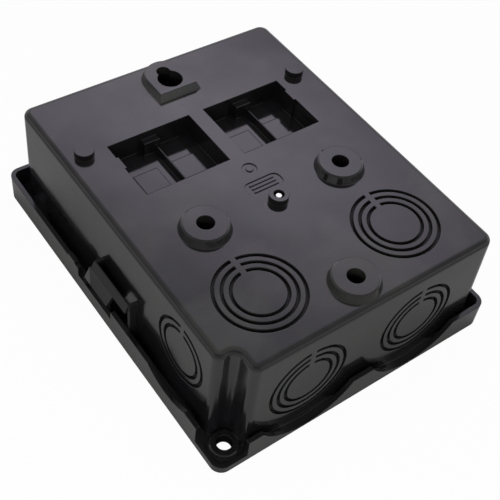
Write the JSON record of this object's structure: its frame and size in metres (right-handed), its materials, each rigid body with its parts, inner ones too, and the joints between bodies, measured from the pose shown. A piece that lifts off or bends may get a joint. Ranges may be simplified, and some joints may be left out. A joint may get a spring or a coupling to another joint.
{
  "type": "moulded plastic housing",
  "caption": "Glossy black moulded plastic back housing of a small electrical enclosure, with screw bosses, pockets, a keyhole pad, cable knockouts and a rim trough.",
  "frame": {"origin": "middle of the rim's underside, on the surface the housing rests on", "axes": "+Z from the rim up to the back plate, +Y along the longer sides towards the keyhole pad, +X away from the side with the catch"},
  "size_m": [0.1232, 0.1524, 0.051],
  "materials": {
    "housing": "glossy moulded black",
    "centre_stud": "bright turned steel"
  },
  "bodies": {
    "root": {"housing": "housing", "centre_stud": "centre_stud"}
  },
  "joints": []
}
